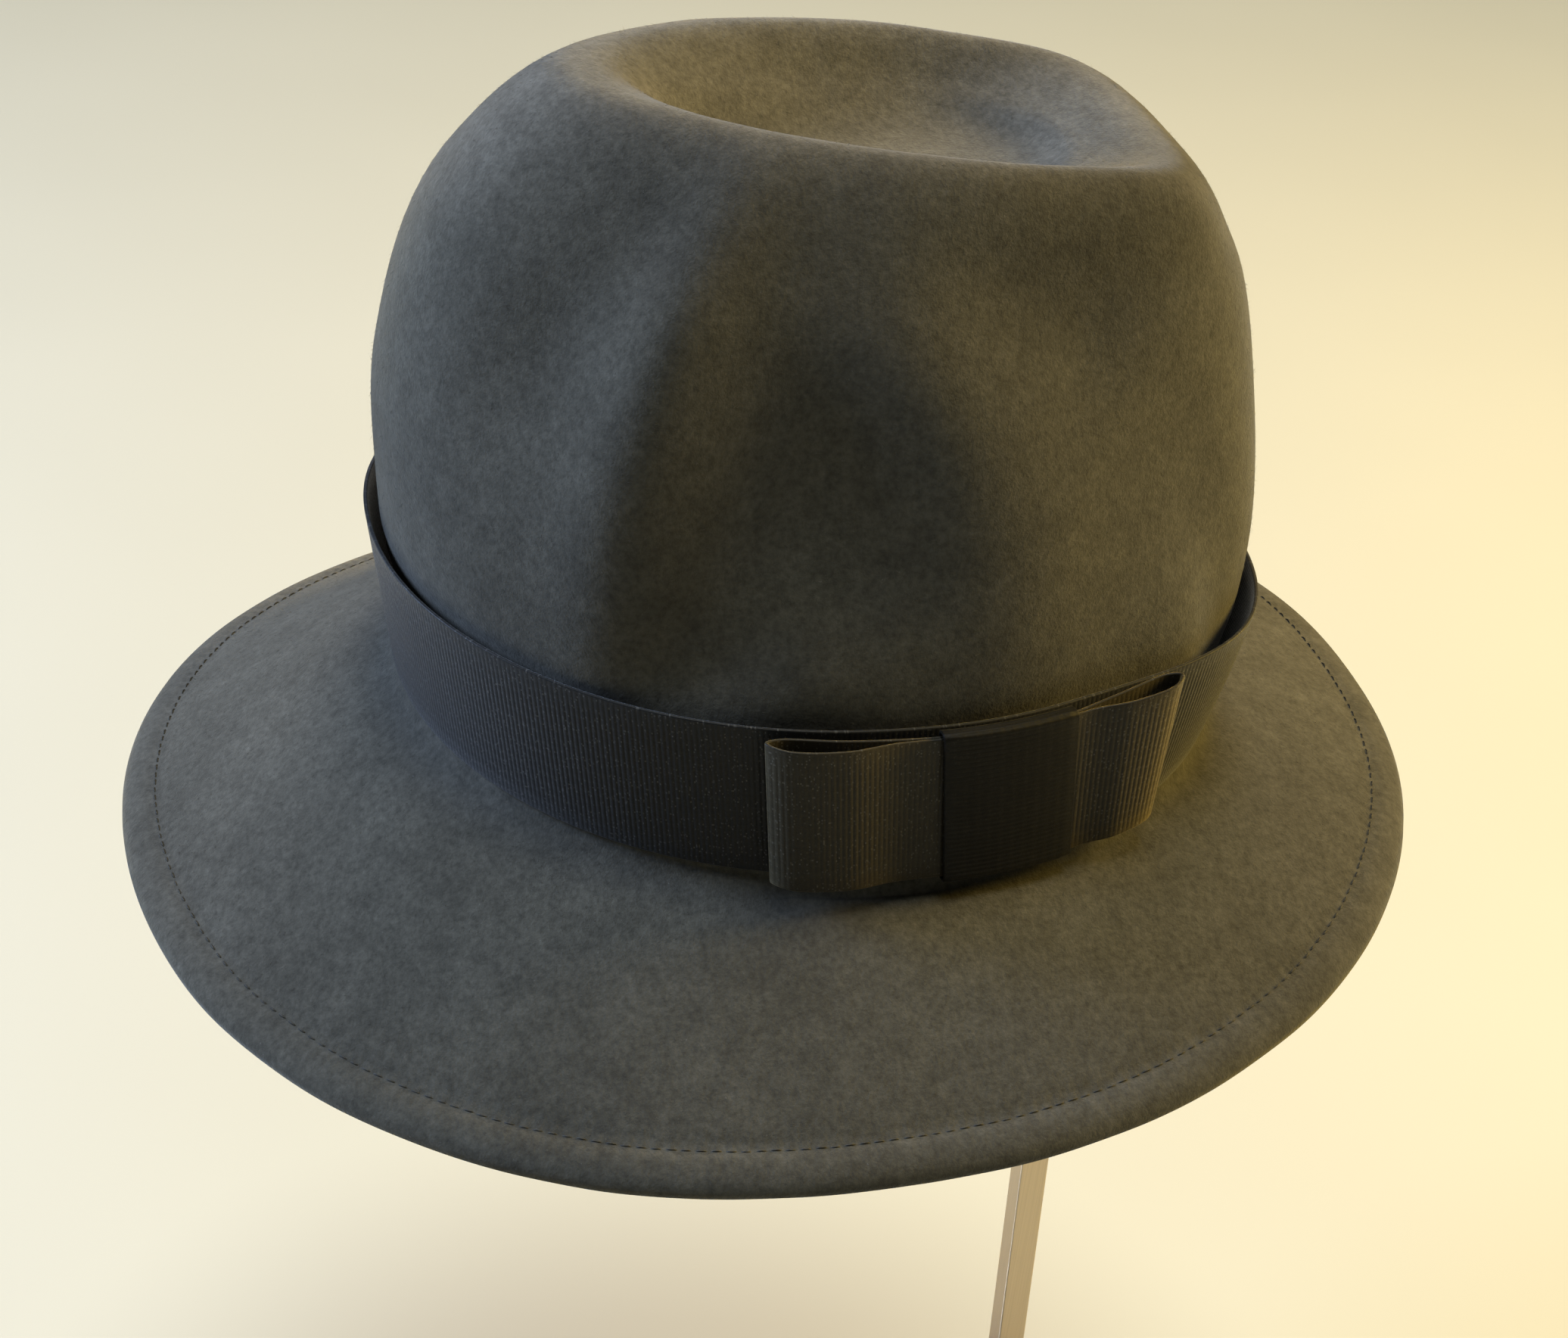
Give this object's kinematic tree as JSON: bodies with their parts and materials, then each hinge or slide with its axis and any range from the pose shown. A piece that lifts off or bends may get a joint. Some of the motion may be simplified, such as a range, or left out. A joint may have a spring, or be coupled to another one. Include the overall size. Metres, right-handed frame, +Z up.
{
  "type": "fedora on a hat stand",
  "caption": "Grey felt fedora with a teardrop crown, drooping stitched brim, black ribbon band and flat bow, resting on a plain bar stand with a flat base.",
  "frame": {"origin": "centre of the stand base's underside, on the surface it stands on", "axes": "+Z up, -Y towards the front of the hat, +X towards the wearer's left, where the bow is"},
  "size_m": [0.2934, 0.3146, 0.4711],
  "materials": {
    "felt": "short brushed nap, matte dark grey wool felt",
    "ribbon": "black ribbed grosgrain with a faint sheen",
    "nickel": "satin nickel-plated steel"
  },
  "bodies": {
    "root": {"felt_body": "felt", "hatband": "ribbon", "bow_loops": "ribbon", "bow_knot": "ribbon", "stand_base": "nickel", "stand_post": "nickel", "stand_rest": "nickel"}
  },
  "joints": []
}
